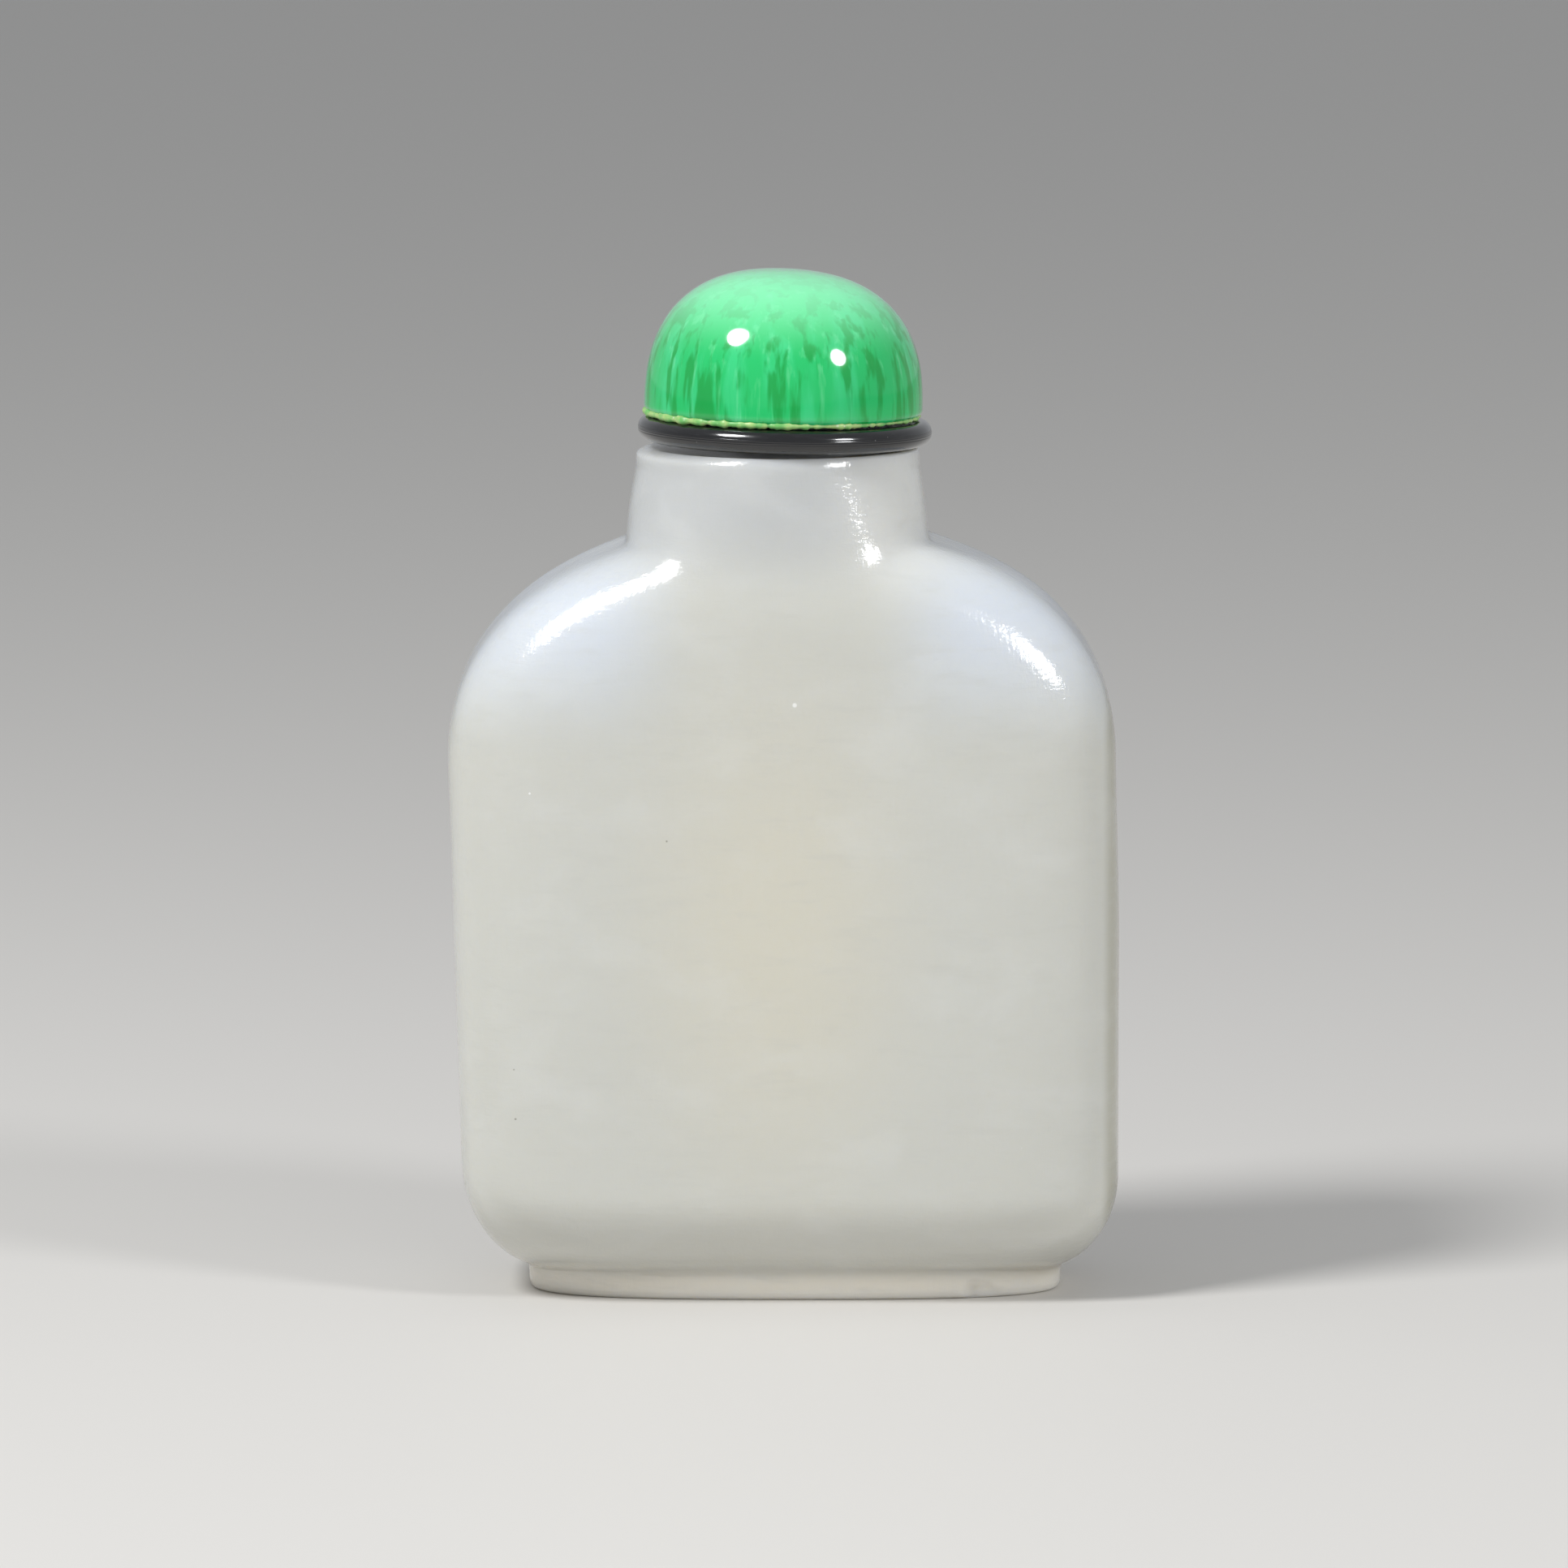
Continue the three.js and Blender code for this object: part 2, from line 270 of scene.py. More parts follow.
def disc(radius):
    return form(radius, radius, radius, PLAN_POWER["round"])


def soft_max(a, b, width):
    """The larger of two lengths, with the corner between them filled."""
    overlap = np.maximum(width - abs(a - b), 0) / width
    return np.maximum(a, b) + width * overlap**2 / 4


def neck_depth(z):
    """In front the neck slopes out gently until it lies inside the body's broad face."""
    edge = NECK_FRONT
    mouth = NECK["radius"] - NECK["taper"]
    flared = mouth + edge["slope"] * max(edge["top"] - z, 0)
    flared += (edge["foot"] - edge["slope"]) * max(edge["bend"] - z, 0)
    return -soft_max(-flared, -edge["limit"], edge["soft"])


def neck_form(z):
    t = clamp01((z - NECK_Z) / NECK["height"])
    radius = NECK["radius"] - NECK["taper"] * t ** NECK["bow"]
    squaring = clamp01((LIP_Z - z) / NECK_PLAN["change"]) ** NECK_PLAN["bow"]
    power = mix(NECK_PLAN["mouth"], NECK_PLAN["base"], squaring)
    return form(radius, radius, neck_depth(z), power)


def foot_form(inset):
    width = FOOT["width"] - inset
    return form(width, width, FOOT["depth"] - inset, FOOT["power"])


print("lean of the axis over the height:", round(axis_x(0) - axis_x(LIP_Z), 2), "mm")


# %% Outline of the body
def tuck(z, roll):
    """How far a quarter-ellipse roll has drawn in at height z."""
    return roll["inward"] * (1 - super_arc((roll["start"] - z) / roll["drop"], 2))


def left_side(z):
    return mix(LEFT["shoulder"], LEFT["corner"], (SHOULDER_Z - z) / (SHOULDER_Z - CORNER_Z))


def right_side(z):
    swell = math.sin(clamp01((SHOULDER_Z - z) / RIGHT["swell"]) * math.pi / 2)
    return mix(RIGHT["shoulder"], RIGHT["corner"], swell)


def shoulder(rise, side):
    return mix(side["shoulder"], side["top"], rise * rise) * super_arc(rise, SHOULDER_POWER)


def plan_power(half_width):
    """The body's section is rounder where it is narrower, in its lower corners."""
    t = clamp01((half_width - NECK["radius"]) / (PLAN_POWER["full_width"] - NECK["radius"]))
    return mix(PLAN_POWER["round"], PLAN_POWER["square"], t * t)


def body_form(z):
    rise = max((z - SHOULDER_Z) / SHOULDER_RISE, 0)
    low = clamp01((DEPTH["belly_z"] - z) / DEPTH["belly_z"])
    left = shoulder(rise, LEFT) if rise > 0 else left_side(z) - tuck(z, LEFT_TUCK)
    right = shoulder(rise, RIGHT) if rise > 0 else right_side(z) - tuck(z, RIGHT_TUCK)
    depth = mix(DEPTH["belly"], DEPTH["low"], low**2) - tuck(z, DEPTH_TUCK)
    power = PLAN_POWER["square"] if rise > 0 else plan_power((left + right) / 2)
    return form(left + axis_x(z), right - axis_x(z), depth, power, rise)


belly = body_form(DEPTH["belly_z"])
print("half-widths and half-depth at the belly:",
      [round(belly[side], 2) for side in ("left", "right", "depth")])


# %% [markdown]
# ## Rings of the bottle
#
# The rings run from the middle of the underside, out over the foot, up the body and the neck to the
# lip, and then down the bore into the hollow, so that the bottle is one closed skin with true walls.
# The foot and the creases get more rings than the plain body, for their small chips and soft folds.

# %% Rings of the bottle
SEGMENTS = 352
BAND_Z = 42  # from here to the lip the rings are evenly spaced
LIP_BAND = 1.0  # the lip's edge is worn down over this height
SHOULDER_TOP = SHOULDER_Z + SHOULDER_RISE - 0.05  # just short of where the shoulders close
RINGS = {  # how many rings each stretch gets
    "foot_edge": 6,
    "foot": 12,
    "low": 54,
    "side": 24,
    "high": 20,
    "band": 68,
    "lip": 18,
    "cavity": 22,
}
RECESS_INSETS = (3.0, 1.5, 0.5, 0)  # rings on the flat of the recess, in mm from its edge
RECESS_STEPS = (0.3, 0.7, 0.93)  # rings down the wall of the recess, as shares of the way
RIM_STEPS = (0.98, 0.9, 0.6, 0.3, 0.1, 0.02)  # rings across the rim that the bottle stands on
LIP_STEPS = (0, 0.3, 0.7, 0.97)  # rings across the flat of the lip
BORE_DEPTHS = (0.15, 3, 6)  # rings in the bore, in mm below the lip


def foot_rings():
    """From the recess in the underside, over the flat rim and its rounded edge, up to the body."""
    edge = FOOT["flare"] + FOOT["round"]
    inner = edge + FOOT_RIM
    rings = [(RECESS["depth"], inner + RECESS["slope"] + inset) for inset in RECESS_INSETS]
    rings += [(RECESS["depth"] * (1 - t), inner + RECESS["slope"] * (1 - t)) for t in RECESS_STEPS]
    rings += [(0, edge + FOOT_RIM * t) for t in RIM_STEPS]
    for angle in heights(0, math.pi / 2, RINGS["foot_edge"]):
        rings.append((FOOT["round"] * (1 - math.cos(angle)), edge - FOOT["round"] * math.sin(angle)))
    wall = heights(FOOT["round"], JOIN_Z, RINGS["foot"])[1:-1]
    rings += [(z, FOOT["flare"] * (JOIN_Z - z) / JOIN_Z) for z in wall]
    return [(z, FOOT["x"], [foot_form(inset)]) for z, inset in rings]


def wall_rings():
    """The outside from the top of the foot to the lip."""
    low = heights(JOIN_Z, CORNER_Z, RINGS["low"], "first")
    side = heights(CORNER_Z, SHOULDER_Z, RINGS["side"])[1:-1]
    high = heights(SHOULDER_Z, BAND_Z, RINGS["high"])[:-1]
    high += heights(BAND_Z, LIP_Z - LIP_BAND, RINGS["band"])
    lip = heights(LIP_Z - LIP_BAND, LIP_Z, RINGS["lip"], "last")[1:]
    rings = [(z, axis_x(z), [body_form(z), foot_form(0)]) for z in low]
    rings += [(z, axis_x(z), [body_form(z)]) for z in side]
    rings += [(z, axis_x(z), [body_form(z), neck_form(z)]) for z in high if z < SHOULDER_TOP]
    rings += [(z, NECK["x"], [neck_form(z)]) for z in high + lip if z >= SHOULDER_TOP]
    return rings


def cavity_ring(z):
    middle = (BORE["bottom"] + CAVITY["floor"]) / 2
    swell = super_arc(abs(z - middle) / (BORE["bottom"] - middle), CAVITY["power"])
    width = mix(BORE["radius"], CAVITY["width"], swell)
    depth = mix(BORE["radius"], CAVITY["depth"], swell)
    power = mix(PLAN_POWER["round"], CAVITY["plan"], swell)
    return z, mix(BORE["x"], CAVITY["x"], swell), [form(width, width, depth, power)]


def hollow_rings():
    """In over the flat of the lip, down the bore and down the wall of the cavity."""
    edge = NECK["radius"] - NECK["taper"] - LIP_EDGE
    rings = []
    for t in LIP_STEPS:
        rings.append((LIP_Z, mix(NECK["x"], BORE["x"], t), [disc(mix(edge, BORE["radius"], t))]))
    rings += [(LIP_Z - down, BORE["x"], [disc(BORE["radius"])]) for down in BORE_DEPTHS]
    cavity = heights(BORE["bottom"], CAVITY["floor"], RINGS["cavity"], "both")
    return rings + [cavity_ring(z) for z in cavity]


ring_list = foot_rings() + wall_rings() + hollow_rings()
outside_count = len(foot_rings()) + len(wall_rings())
print(len(ring_list), "rings,", outside_count, "of them outside")

# %% [markdown]
# Most sections have a formula for how far they reach in a given direction. A section through the
# shoulders has none: there the body is a soft block whose outline shrinks towards the neck, so its
# reach is found by halving an interval again and again.

# %% Points of the bottle
SPREAD = 2.6  # how strongly points crowd where a ring turns its corners
HALVINGS = 34


def plain_reach(given, width, x, y):
    power = given["power"]
    return ((x / width) ** power + (y / given["depth"]) ** power) ** (-1 / power)


def shoulder_reach(given, width, x, y):
    """The reach through the shoulders, whose ridge is softened by the chamfer."""
    inside, outside = 0 * x, width + given["depth"]
    upward = given["rise"] ** SHOULDER_POWER
    for _ in range(HALVINGS):
        middle = (inside + outside) / 2
        across = np.minimum(middle * x / width, 1)
        sideways = (across * super_arc(given["rise"], SHOULDER_POWER)) ** SHOULDER_POWER
        total = np.maximum(sideways + upward, TINY)
        cut = 1 + CHAMFER * 4 * sideways * upward / total**2 * (1 - total)
        place = np.clip(total ** (1 / SHOULDER_POWER) * cut, 0, 1)
        depth = given["depth"] * (1 - place ** given["power"]) ** (1 / given["power"])
        within = (across < 1) & (middle * y < depth)
        inside = np.where(within, middle, inside)
        outside = np.where(within, outside, middle)
    return inside


def reach(given, x, y):
    """How far a form reaches in the direction of the unit vectors (x, y)."""
    width = np.where(x < 0, given["left"], given["right"])
    measure = shoulder_reach if given["rise"] else plain_reach
    return measure(given, width, abs(x), abs(y))


def bent(value):
    """A sine or cosine changed so that points crowd at a ring's corners."""
    return np.sign(value) * abs(value) ** (2 / SPREAD)


def ring_points(ring):
    """The points of one ring. Their directions change slowly from ring to ring, so no ledge appears."""
    z, centre, forms = ring
    left, right = (max(given[side] for given in forms) for side in ("left", "right"))
    angle = np.arange(SEGMENTS) / SEGMENTS * 2 * np.pi
    x = np.where(np.cos(angle) < 0, left, right) * bent(np.cos(angle))
    y = NECK["radius"] * bent(np.sin(angle))
    x, y = x / np.hypot(x, y), y / np.hypot(x, y)
    radius = reach(forms[0], x, y)
    for other in forms[1:]:
        radius = soft_max(radius, reach(other, x, y), CREASE)
    return np.stack([centre + radius * x, radius * y, np.full(SEGMENTS, z)], -1)


bottle_points = np.array([ring_points(ring) for ring in ring_list])
print("bottle grid:", bottle_points.shape, "tallest", bottle_points[..., 2].max())

# %% [markdown]
# In front and behind, the carver blended the neck into the broad faces so well that no crease is left.
# A blur along the height does the same: it mixes each ring with its neighbours, fully in front and not
# at all at the sides, where the crease stays.

# %% Blended neck
BLUR = 0.65  # millimetres
BLUR_FROM = 0.1  # how far a point faces front or back, from 0 to 1, before the blur touches it
BLUR_FADE = {"low": 2, "high": 1.2}  # heights over which the blur fades in and out


def blurred(rows, reach_in_rows):
    """Each row mixed with its neighbours by a bell curve."""
    span = int(3 * reach_in_rows) + 1
    steps = np.arange(-span, span + 1)
    weights = np.exp(-0.5 * (steps / reach_in_rows) ** 2)
    padded = np.pad(rows, ((span, span), (0, 0), (0, 0)), mode="edge")
    count = len(rows)
    return sum(w * padded[k : k + count] for k, w in enumerate(weights / weights.sum()))


ring_z = bottle_points[:, 0, 2]
first = int(np.searchsorted(ring_z[:outside_count], BAND_Z))
last = int(np.searchsorted(ring_z[:outside_count], LIP_Z - LIP_BAND))
band = bottle_points[first : last + 1]
spacing = ring_z[first + 1] - ring_z[first]
sideways = band[..., 0] - NECK["x"]
frontal = abs(band[..., 1]) / np.hypot(sideways, band[..., 1])
share = np.clip((frontal - BLUR_FROM) / (1 - BLUR_FROM), 0, 1)
fade_in = np.clip((band[..., 2] - BAND_Z) / BLUR_FADE["low"], 0, 1)
fade_out = np.clip((LIP_Z - LIP_BAND - band[..., 2]) / BLUR_FADE["high"], 0, 1)
share *= fade_in * fade_out
bottle_points[first : last + 1] = mix(band, blurred(band, BLUR / spacing), share[..., None])
print("blended", last - first, "rings, spaced", round(float(spacing), 3), "mm")

# %% [markdown]
# The edge of the lip is worn unevenly. At the left it is a soft shoulder, in front it leans back over
# most of a millimetre, and at the right it is still sharp.

# %% Worn edge of the lip
WORN_EDGES = {  # width and height of the wear, and how hollow or round its curve is
    "left": (1.0, 0.6, 2.6),
    "front": (0.33, 0.9, 1.8),
    "right": (0.2, 0.2, 2.0),
}


def worn(below, edge):
    width, height, power = edge
    return width * np.clip(1 - below / height, 0, 1) ** power


lip = bottle_points[:outside_count]
from_axis = lip[..., :2] - (NECK["x"], 0)
away = np.linalg.norm(from_axis, axis=-1, keepdims=True)
unit = from_axis / away
below = LIP_Z - lip[..., 2]
leftward = np.clip(-unit[..., 0], 0, 1) ** 2
rightward = np.clip(unit[..., 0], 0, 1) ** 2
inset = leftward * worn(below, WORN_EDGES["left"]) + rightward * worn(below, WORN_EDGES["right"])
inset += (1 - leftward - rightward) * worn(below, WORN_EDGES["front"])
lip[..., :2] -= unit * inset[..., None]
print("lip worn by up to", round(float(inset.max()), 2), "mm")

# %% [markdown]
# ## Handwork and damage
#
# A polished stone is never quite flat: the wheel leaves waves a few hundredths of a millimetre deep,
# which make the highlights waver. The foot has a shell-shaped chip near its right end and a row of
# pits along its upper edge. All of it is real geometry, because a highlight shows at once where a
# dent is only painted.

# %% Waves of the polishing wheel
WAVES = [(9.0, 0.05), (3.2, 0.014), (1.1, 0.004)]  # length and height of each wave
FLAT_BELOW = 0.4  # the waves fade out under this height, so the underside still stands level

outside = bottle_points[:outside_count]
surface_normals = normals_of(outside)
swell = sum(height * roughness_field(outside, size, k) for k, (size, height) in enumerate(WAVES))
keep_flat = np.clip(outside[..., 2:] / FLAT_BELOW, 0, 1)
bottle_points[:outside_count] += surface_normals * swell[..., None] * keep_flat
print("waves up to", round(float(abs(swell).max()), 3), "mm")


# %% Chips and pits
RIPPLES = 40  # how closely the rings of a shell-shaped break follow one another
CHIPS = [  # x, z, radius of the ball that cuts the chip, and how far its centre is off the wall
    (12.9, 0.45, 1.5, 1.22),
    (13.7, 0.55, 1.2, 1.0),
    (14.3, 0.3, 1.0, 0.86),
]
CHIP_RIPPLE = 0.012
PITS = {"from": -9.6, "to": 3.0, "count": 26, "z": 1.72, "radius": 0.2, "off": 0.16}
PIT_WOBBLE = {"pace": 3.1, "x": 0.3, "z": 0.12}


def scoop(points, normals, centre, radius, ripple):
    """Cuts a hollow: points inside a ball move inward on to its surface."""
    away = points - np.array(centre)
    distance = np.linalg.norm(away, axis=-1)
    wall = radius * (1 + ripple * np.sin(distance / radius * RIPPLES))
    inside = distance < wall
    lean = (away * normals).sum(-1)
    step = lean + np.sqrt(np.maximum(lean**2 - distance**2 + wall**2, 0))
    return points - normals * np.where(inside, step, 0)[..., None]


def foot_front(x, z, outward):
    """A point on the front wall of the foot at x, moved outward by the given length."""
    arc = super_arc(abs(x - FOOT["x"]) / FOOT["width"], FOOT["power"])
    return x, -FOOT["depth"] * arc - outward, z


outside = bottle_points[:outside_count]
for x, z, radius, off in CHIPS:
    outside = scoop(outside, surface_normals, foot_front(x, z, off), radius, CHIP_RIPPLE)
for x in np.linspace(PITS["from"], PITS["to"], PITS["count"]):
    wobble = noise.noise(Vector((x * PIT_WOBBLE["pace"], 0, 7)))
    pit_x, pit_z = x + wobble * PIT_WOBBLE["x"], PITS["z"] + wobble * PIT_WOBBLE["z"]
    outside = scoop(outside, surface_normals, foot_front(pit_x, pit_z, PITS["off"]), PITS["radius"], 0)
bottle_points[:outside_count] = outside
print("chips:", len(CHIPS), "and pits:", PITS["count"])

# %% The bottle as a piece
poles = np.array([[FOOT["x"], 0, RECESS["depth"]], [BORE["x"], 0, CAVITY["floor"]]])
bottle = make_piece(
    "carved_bottle",
    np.concatenate([bottle_points.reshape(-1, 3), poles]),
    skin_faces(len(ring_list), SEGMENTS),
)
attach(bottle, "root")
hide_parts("bottle")
print("bottle:", len(bottle.data.polygons), "faces")

# %% [markdown]
# ## The stopper
#
# The stopper is turned work, so each of its pieces is a profile spun round an axis. Cork, collar and
# dome share that axis, which leans by a little over one degree because the cork sits askew in the
# mouth. The profiles are made upright at the origin and then tilted into place together.

# %% Sizes and place of the stopper
STOPPER = {"x": 0.03, "z": 56.51, "tilt": 1.3}
COLLAR = {"radius": 9.75, "height": 1.6}
GLUE_GAP = 0.25
DOME = {"radius": 9.24, "height": 9.55, "power": 2.45, "round": 0.5, "shift": -0.13, "lean": 0.22}
CORK = {"radius": 3.15, "gap": 0.3, "length": 6.4, "taper": 0.15}
DOME_BASE = COLLAR["height"] + GLUE_GAP
TURNS = 288

tilt = np.array(Matrix.Rotation(math.radians(STOPPER["tilt"]), 3, "Y"))
seat = np.array([STOPPER["x"], 0, STOPPER["z"]])


def turn_angles():
    return np.arange(TURNS) / TURNS * 2 * np.pi


def spin(profile):
    """A rings x turns grid of points from a profile of (radius, height), low to high, about Z."""
    profile = np.array(profile)
    angle = turn_angles()
    radius, height = profile[:, :1], profile[:, 1:]
    return np.stack([radius * np.cos(angle), radius * np.sin(angle), height + 0 * angle], -1)


def make_turned(name, grid, node):
    """A closed piece from a grid of spun points, tilted into its place on the bottle."""
    poles = np.array([grid[0].mean(0), grid[-1].mean(0)])
    points = np.concatenate([grid.reshape(-1, 3), poles]) @ tilt.T + seat
    piece = make_piece(name, points, skin_faces(len(grid), TURNS))
    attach(piece, "root")
    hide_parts(node)
    return piece


print("the dome's base is", round(STOPPER["z"] + DOME_BASE, 2), "mm up")

# %% [markdown]
# ### The glass dome
#
# The dome was ground by hand from a block of streaked glass. Its section is a superellipse rather than
# a half circle, its crown sits a little left of its middle, and it has faint flats from grinding.

# %% Glass dome
FLAT_RADII = (0.5, 4, 8)  # rings on the flat underside of the dome and on both faces of the collar
DOME_RINGS = {"edge": 8, "side": 90}
DOME_TOP = 0.9995  # the last ring's place on the way up: the pole closes what is left
GRINDING = [(6.0, 0.04, 11), (1.6, 0.008, 12)]  # length, height and seed of the uneven grinding


def dome_grid():
    profile = [(radius, DOME_BASE) for radius in FLAT_RADII]
    for angle in heights(0, math.pi / 2, DOME_RINGS["edge"]):
        out = DOME["radius"] - DOME["round"] * (1 - math.sin(angle))
        profile.append((out, DOME_BASE + DOME["round"] * (1 - math.cos(angle))))
    rise = DOME["height"] - DOME["round"]
    for t in heights(0, DOME_TOP, DOME_RINGS["side"], "last")[1:]:
        out = DOME["radius"] * super_arc(t, DOME["power"])
        profile.append((out, DOME_BASE + DOME["round"] + rise * t))
    grid = spin(profile)
    height = (grid[..., 2] - DOME_BASE) / DOME["height"]
    grid[..., 0] += DOME["shift"] - DOME["lean"] * height**4
    flats = sum(depth * roughness_field(grid, size, seed) for size, depth, seed in GRINDING)
    above_base = np.clip(height * 4, 0, 1)
    return grid + normals_of(grid) * flats[..., None] * above_base[..., None]


dome = make_turned("glass_dome", dome_grid(), "stopper_dome")
print("dome:", len(dome.data.polygons), "faces")

# %% [markdown]
# ### The black collar
#
# The collar is a thin disc with a half-round edge. The lathe left three fine lines round the middle of
# the edge, cut here as real grooves, and a flake has come off its lower edge near the front.

# %% Black collar
GROOVES = [(-0.16, 0.018), (0.02, 0.012), (0.2, 0.016)]  # angle above the middle in radians, and depth
GROOVE_WIDTH = 0.045
EDGE_STEPS = 96
COLLAR_WAVES = {"size": 2.5, "height": 0.015, "seed": 21, "outside": 8.5}
FLAKE = {"centre": (2.6, -9.75, 0.12), "radius": 0.42, "ripple": 0.02}


def collar_grid():
    half = COLLAR["height"] / 2
    profile = [(radius, 0) for radius in FLAT_RADII]
    for angle in heights(-math.pi / 2, math.pi / 2, EDGE_STEPS):
        cut = sum(depth * math.exp(-(((angle - at) / GROOVE_WIDTH) ** 2)) for at, depth in GROOVES)
        out = COLLAR["radius"] - half + (half - cut) * math.cos(angle)
        profile.append((out, half + (half - cut) * math.sin(angle)))
    profile += [(radius, COLLAR["height"]) for radius in reversed(FLAT_RADII)]
    grid = spin(profile)
    normals = normals_of(grid)
    on_edge = np.hypot(grid[..., 0], grid[..., 1]) > COLLAR_WAVES["outside"]
    waves = COLLAR_WAVES["height"] * roughness_field(grid, COLLAR_WAVES["size"], COLLAR_WAVES["seed"])
    grid = grid + normals * (waves * on_edge)[..., None]
    return scoop(grid, normals, FLAKE["centre"], FLAKE["radius"], FLAKE["ripple"])


collar = make_turned("black_collar", collar_grid(), "stopper_collar")
print("collar:", len(collar.data.polygons), "faces")

# %% [markdown]
# ### Glue and cork
#
# The glue was squeezed out between dome and collar and dried as an uneven crust, thick at the left and
# front and thinner at the right. It is a ring of points with a section that swells and shrinks. The cork
# is hidden in the mouth, but the bottle can be turned and the stopper lifted, so it is a real plug with
# the pores of cork.

# %% Glue
GLUE_RIM = 9.2  # radius at which the lumps are taken from the noise
GLUE_MEAN = 0.20  # half the thickness of the crust, all round
GLUE_SWING = {"share": 0.10, "left": 0.9, "front": 0.3, "least": -0.6}  # thicker left and front
GLUE_LUMPS = [(0.55, 1, 31), (0.22, 0.6, 32)]  # size, share and seed
GLUE_LUMP_HEIGHT = 0.15
GLUE_LIMITS = (0.05, 0.55)
GLUE_MIDDLE = {"inside_dome": 0.28, "above_base": 0.02}
GLUE_SECTION = {"points": 10, "width": 1.1, "height": 0.95}


def glue_grid():
    angle = turn_angles()
    x, y = np.cos(angle), np.sin(angle)
    rim = np.stack([x * GLUE_RIM, y * GLUE_RIM, 0 * x], -1)
    lumps = sum(share * roughness_field(rim, size, seed) for size, share, seed in GLUE_LUMPS)
    swing = np.clip(-x * GLUE_SWING["left"] - y * GLUE_SWING["front"], GLUE_SWING["least"], 1)
    thick = GLUE_MEAN + GLUE_SWING["share"] * swing + GLUE_LUMP_HEIGHT * lumps
    thick = np.clip(thick, *GLUE_LIMITS)
    middle_out = DOME["radius"] - GLUE_MIDDLE["inside_dome"]
    middle_up = DOME_BASE + GLUE_MIDDLE["above_base"]
    rows = []
    for turn in heights(0, 2 * math.pi, GLUE_SECTION["points"])[:-1]:
        out = middle_out + thick * GLUE_SECTION["width"] * math.cos(turn)
        up = middle_up + thick * GLUE_SECTION["height"] * math.sin(turn)
        rows.append(np.stack([x * out + DOME["shift"], y * out, up], -1))
    return np.array(rows)


def make_ring_piece(name, grid):
    """A closed ring: its section's points join up all the way round."""
    rows, turns = grid.shape[:2]
    i, j = np.meshgrid(np.arange(rows), np.arange(turns), indexing="ij")
    corners = [(i, j), (i, j + 1), (i + 1, j + 1), (i + 1, j)]
    faces = np.stack([(row % rows) * turns + turn % turns for row, turn in corners], -1)
    piece = make_piece(name, grid.reshape(-1, 3) @ tilt.T + seat, faces.reshape(-1, 4).tolist())
    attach(piece, "root")
    return piece


glue = make_ring_piece("dried_glue", glue_grid())
print("glue:", len(glue.data.polygons), "faces")


# %% Cork
CORK_RINGS = 50
CORK_EDGE = 0.05
PORES = [(0.8, 0.25, 1, 41), (0.35, 0.3, 0.5, 42)]  # size, threshold, share and seed
PORE_DEPTH = 0.25


def cork_grid():
    low, high = -CORK["gap"] - CORK["length"], -CORK["gap"]
    wide, narrow = CORK["radius"], CORK["radius"] - CORK["taper"]
    profile = [(radius, low) for radius in (0.3, 1, 2, narrow - 0.3)]
    for t in heights(0, 1, CORK_RINGS):
        radius = mix(narrow, wide, t) - CORK_EDGE * (t in (0, 1))
        profile.append((radius, mix(low + CORK_EDGE, high - CORK_EDGE, t)))
    profile += [(radius, high) for radius in (wide - 0.3, 2, 1, 0.3)]
    grid = spin(profile)
    pores = 0
    for size, threshold, share, seed in PORES:
        pores = pores + share * np.clip(roughness_field(grid, size, seed) - threshold, 0, 1)
    return grid - normals_of(grid) * PORE_DEPTH * pores[..., None]


cork = make_turned("cork_plug", cork_grid(), "cork")
print("cork:", len(cork.data.polygons), "faces")

# %% [markdown]
# ## Effects that several finishes share
#
# A shader node group is a small machine with named inputs and outputs. It is built once and placed in
# each material with its own values. Four are enough here: clouds that can be stretched into streaks,
# tiny specks, one soft spot at a chosen place, and the fine wear of a handled polish.

# %% Helpers for shader nodes
def add(tree, kind, joins=None, **settings):
    """One node. Settings are its properties, and joins its inputs: sockets are linked, values are set."""
    node = tree.nodes.new(kind)
    for name, value in settings.items():
        setattr(node, name, value)
    for name, value in (joins or {}).items():
        if isinstance(value, bpy.types.NodeSocket):
            tree.links.new(value, node.inputs[name])
        else:
            node.inputs[name].default_value = value
    return node


def maths(tree, operation, *values):
    return add(tree, "ShaderNodeMath", dict(enumerate(values)), operation=operation).outputs[0]


def vector_maths(tree, operation, *values):
    return add(tree, "ShaderNodeVectorMath", dict(enumerate(values)), operation=operation).outputs[0]


def scaled(tree, vector, scale):
    return add(tree, "ShaderNodeVectorMath", {0: vector, "Scale": scale}, operation="SCALE").outputs[0]


def noise_at(tree, place, scale, detail):
    return add(tree, "ShaderNodeTexNoise", {"Vector": place, "Scale": scale, "Detail": detail}).outputs


def blend(tree, factor, first, second):
    """Mixes two colours. A colour is a socket, or three numbers."""
    sides = {name: value if isinstance(value, bpy.types.NodeSocket) else colour4(value)
             for name, value in ((6, first), (7, second))}
    return add(tree, "ShaderNodeMix", {0: factor, **sides}, data_type="RGBA").outputs[2]


def tinted(tree, colour, mask, share, tone):
    """A colour with some of another laid over it where the mask is white."""
    return blend(tree, maths(tree, "MULTIPLY", mask, share), colour, tone)


def ramp(tree, value, start, end, low=0.0, high=1.0):
    """The low value below start, the high value above end, and smooth in between."""
    limits = {"Value": value, "From Min": start, "From Max": end, "To Min": low, "To Max": high}
    return add(tree, "ShaderNodeMapRange", limits, interpolation_type="SMOOTHSTEP").outputs[0]


